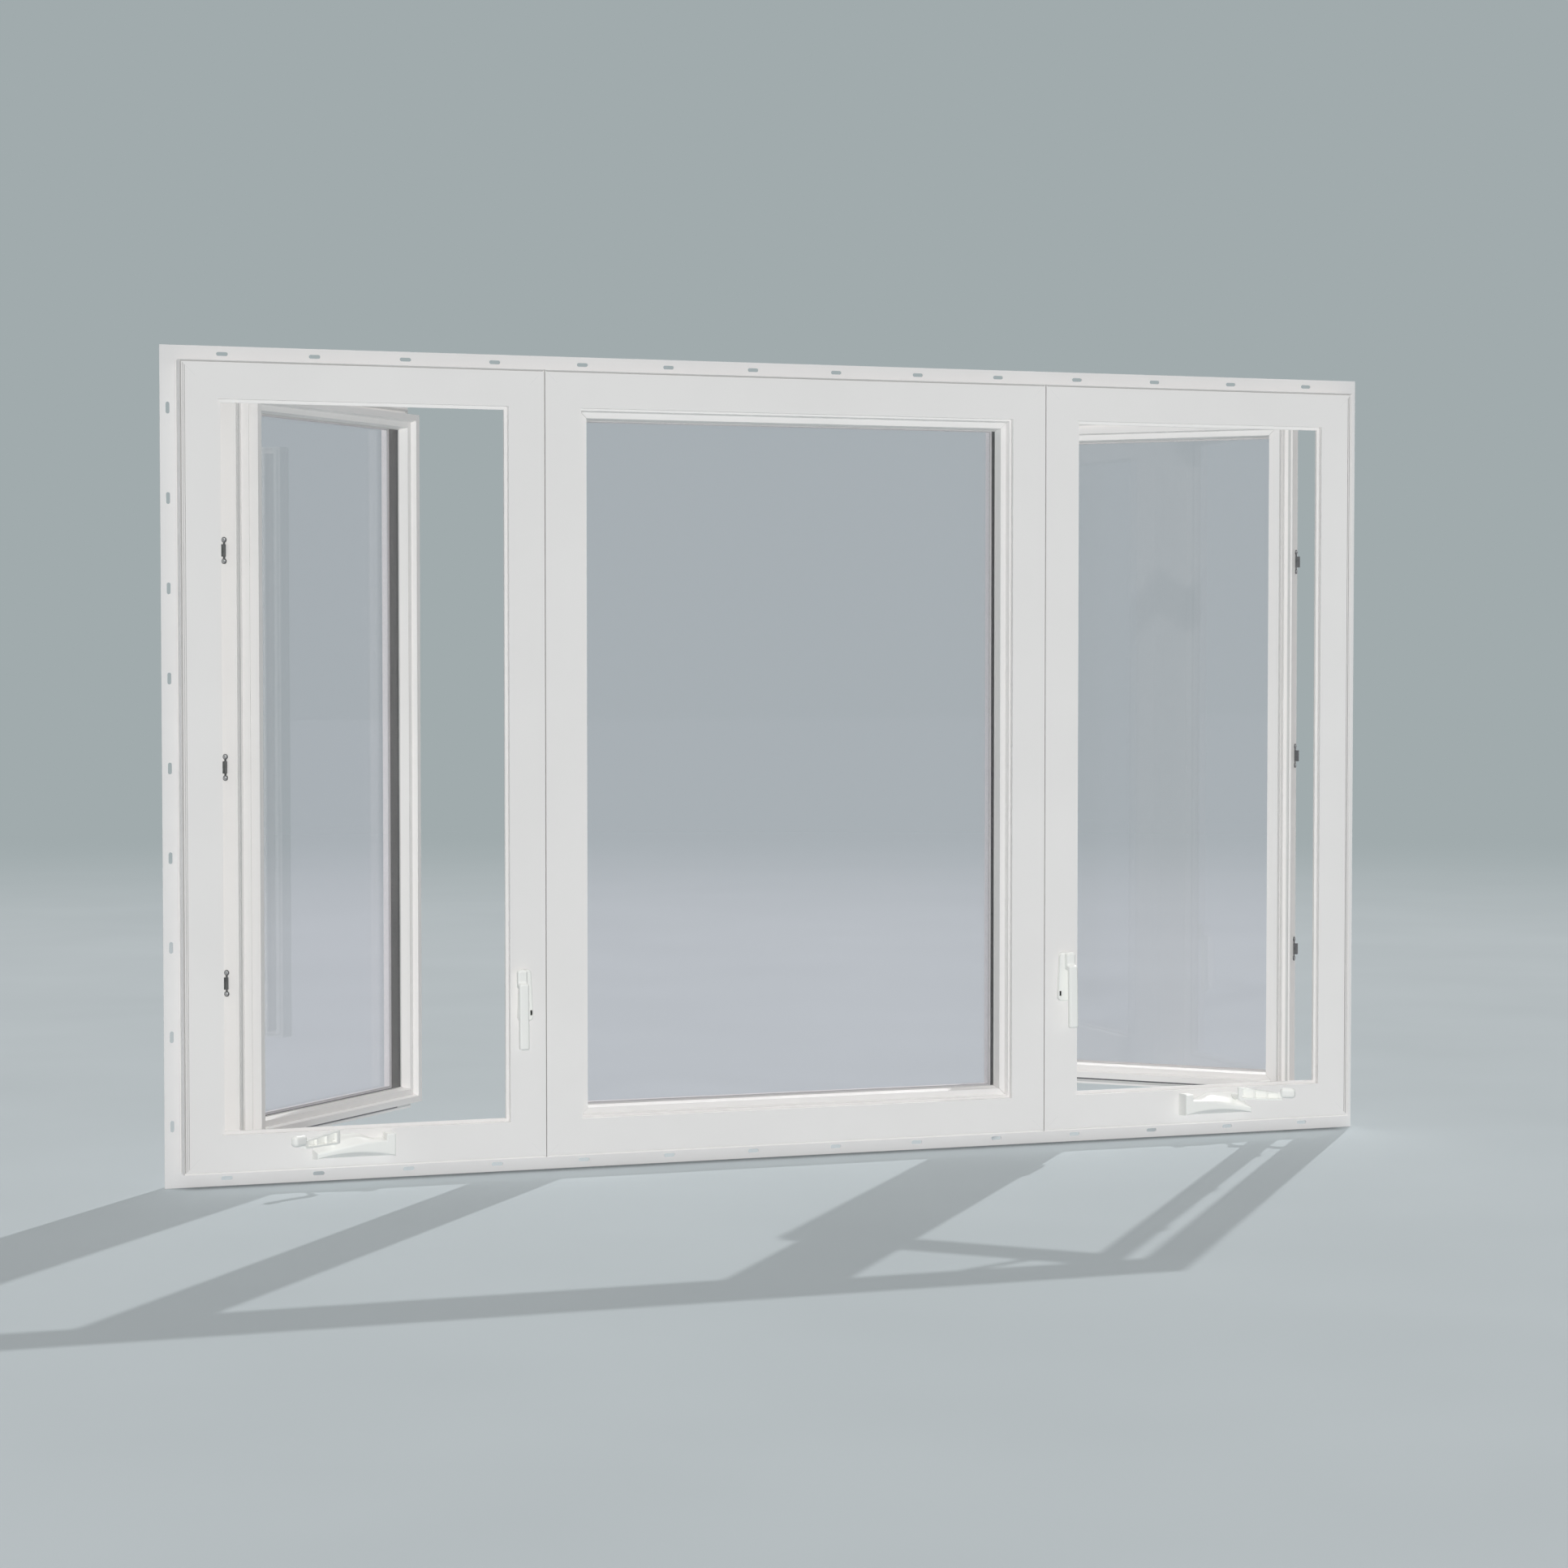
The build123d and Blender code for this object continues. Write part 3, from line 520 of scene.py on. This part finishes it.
def add_fixings(materials):
    """Screws of the snubbers and hinges, studs on the operator tracks, and dark boxes that paint the shade
    in the lock slots.
    """
    screw = screw_part(SCREW_RADIUS, SCREW_HEIGHT)
    middle = (FRAME_BOTTOM + FRAME_TOP) / 2
    sideways = Matrix.Rotation(math.radians(-90.0), 4, "Z")
    upward = Matrix.Rotation(math.radians(-90.0), 4, "X")
    snubbers = []
    for row in (-1, 0, 1):
        for lug in (-SNUBBER_LUG, SNUBBER_LUG):
            spot = Matrix.Translation((*SNUBBER_EDGE, middle + row * SNUBBER_PITCH + lug))
            snubbers.append(moved(screw, spot @ sideways))
    hinge = []
    for x in HINGE_SCREWS_X:
        spot = Matrix.Translation((x, PIN_CLOSED[1], POCKET_FLOOR + HINGE_LAYER))
        hinge.append(moved(screw, spot @ upward))
    pivot = Matrix.Translation((HINGE_PIVOT_X, PIN_CLOSED[1], POCKET_FLOOR + 2 * HINGE_LAYER))
    hinge.append(moved(screw_part(RIVET_RADIUS, RIVET_HEIGHT), pivot @ upward))
    stud_place = Matrix.Translation((GUIDE_X, TRACK_FRONT, TRACK_MIDDLE_Z))
    stud = moved(screw_part(STUD_RADIUS, STUD_HEIGHT), stud_place)
    # painted shade: a dark box fills each lock slot where the shade falls
    half = [size / 2 for size in LOCK_SLOT_SHADE]
    slot_shade = box_part(
        (LOCK_SLOT[0] - half[0], LOCK_SLOT[1] - LOCK_SLOT_SHADE[1], LOCK_SLOT[2] - half[2]),
        (LOCK_SLOT[0] + half[0], LOCK_SLOT[1], LOCK_SLOT[2] + half[2]),
    )
    overhead = Matrix.Translation((0.0, 0.0, 2 * middle)) @ Matrix.Scale(-1.0, 4, (0.0, 0.0, 1.0))
    for side, turn in (("left", STILL), ("right", MIRROR)):
        add_piece(side + "_snubber_screws", *join(snubbers), turn @ OPENED, materials["zinc"], "steel")
        add_piece(side + "_sill_hinge_screws", *join(hinge), turn, materials["zinc"], "steel")
        add_piece(side + "_head_hinge_screws", *join(hinge), turn @ overhead, materials["zinc"], "steel")
        add_piece(side + "_track_stud", *stud, turn @ OPENED, materials["track"], "track")
        piece = add_piece(side + "_lock_slot_shade", *slot_shade, turn, materials["spacer"], "track")
        round_edges(piece, LOCK_SLOT_SHADE[0] / 4)


def make_floor():
    """Pale floor that fades into the backdrop far away and is paler where glass mirrors it."""
    material, nodes, links, output = new_material("pale_floor")
    matt = nodes.new("ShaderNodeBsdfDiffuse")
    low = linear([value - FLOOR_VARIATION for value in FLOOR])
    high = linear([value + FLOOR_VARIATION for value in FLOOR])
    tone = ramp(nodes, links, noise(nodes, links, *FLOOR_NOISE), low, high)
    # painted contact shadow: the floor's colour is darkened where the window stands on it
    links.new(painted_crevice_shade(nodes, links, tone, CONTACT_SHADE, CONTACT_REACH), matt.inputs["Color"])
    place = nodes.new("ShaderNodeTexCoord")
    distance = nodes.new("ShaderNodeVectorMath")
    distance.operation = "LENGTH"
    links.new(place.outputs["Object"], distance.inputs[0])
    fade = nodes.new("ShaderNodeMapRange")
    fade.interpolation_type = "SMOOTHSTEP"
    fade.inputs["From Min"].default_value = FLOOR_FADE_START
    fade.inputs["From Max"].default_value = FLOOR_FADE_END
    links.new(distance.outputs["Value"], fade.inputs["Value"])
    faded = mix_shaders(nodes, links, fade.outputs["Result"], matt.outputs["BSDF"], glow(nodes, BACKDROP))
    path = nodes.new("ShaderNodeLightPath").outputs
    mirrored = combine(nodes, links, "SUBTRACT", path["Is Glossy Ray"], path["Is Transmission Ray"])
    shown = mix_shaders(nodes, links, mirrored, faded, glow(nodes, FLOOR_REFLECTED))
    links.new(shown, output.inputs["Surface"])
    mesh = bpy.data.meshes.new("floor")
    corners = [(-FLOOR_REACH, -FLOOR_REACH, 0), (FLOOR_REACH, -FLOOR_REACH, 0),
               (FLOOR_REACH, FLOOR_REACH, 0), (-FLOOR_REACH, FLOOR_REACH, 0)]
    mesh.from_pydata(corners, [], [(0, 1, 2, 3)])
    mesh.materials.append(material)
    floor = bpy.data.objects.new("floor", mesh)
    floor.location.z = cad_box[0][2]
    bpy.context.collection.objects.link(floor)


def background(nodes, colour, strength):
    """World background node of one colour."""
    node = nodes.new("ShaderNodeBackground")
    node.inputs["Color"].default_value = (*colour, 1.0)
    node.inputs["Strength"].default_value = strength
    return node.outputs["Background"]


def make_world():
    """Even sky light; the camera and glass see the backdrop colour and mirrors a paler room instead."""
    world = bpy.data.worlds.new("studio")
    bpy.context.scene.world = world
    world.use_nodes = True
    nodes = world.node_tree.nodes
    links = world.node_tree.links
    nodes.clear()
    output = nodes.new("ShaderNodeOutputWorld")
    sky = background(nodes, (1.0, 1.0, 1.0), SKY_LEVEL)
    backdrop = background(nodes, linear(BACKDROP), 1.0)
    room = background(nodes, linear(REFLECTED), 1.0)
    path = nodes.new("ShaderNodeLightPath").outputs
    seen = combine(nodes, links, "MAXIMUM", path["Is Camera Ray"], path["Is Transmission Ray"])
    mirrored = mix_shaders(nodes, links, path["Is Glossy Ray"], sky, room)
    links.new(mix_shaders(nodes, links, seen, mirrored, backdrop), output.inputs["Surface"])


def make_sun(name, travel, level, angle, shadow=True):
    """Sun lamp; level is what it adds to a white matt surface that faces it."""
    lamp = bpy.data.lights.new(name, "SUN")
    lamp.energy = level * math.pi
    lamp.angle = angle
    lamp.use_shadow = shadow
    sun = bpy.data.objects.new(name, lamp)
    sun.rotation_euler = Vector(travel).to_track_quat("-Z", "Y").to_euler()
    bpy.context.collection.objects.link(sun)


def make_camera():
    """Camera at the photograph's place."""
    lens = bpy.data.cameras.new("camera")
    lens.lens = CAMERA_LENS
    lens.sensor_width = CAMERA_SENSOR
    camera = bpy.data.objects.new("camera", lens)
    camera.location = CAMERA_PLACE
    camera.rotation_euler = (CAMERA_PITCH, 0.0, CAMERA_YAW)
    bpy.context.collection.objects.link(camera)
    bpy.context.scene.camera = camera


make_camera()
make_world()
make_floor()
make_sun("key", KEY_TRAVEL, KEY_LEVEL, KEY_ANGLE)
make_sun("fill", FILL_TRAVEL, FILL_LEVEL, FILL_ANGLE, shadow=False)
make_sun("bounce", BOUNCE_TRAVEL, BOUNCE_LEVEL, FILL_ANGLE, shadow=False)
materials = make_materials()
dress(materials)
add_seals(materials)
add_welds(materials)
add_weeps(materials)
add_fixings(materials)

bpy.context.scene.view_settings.view_transform = "Standard"
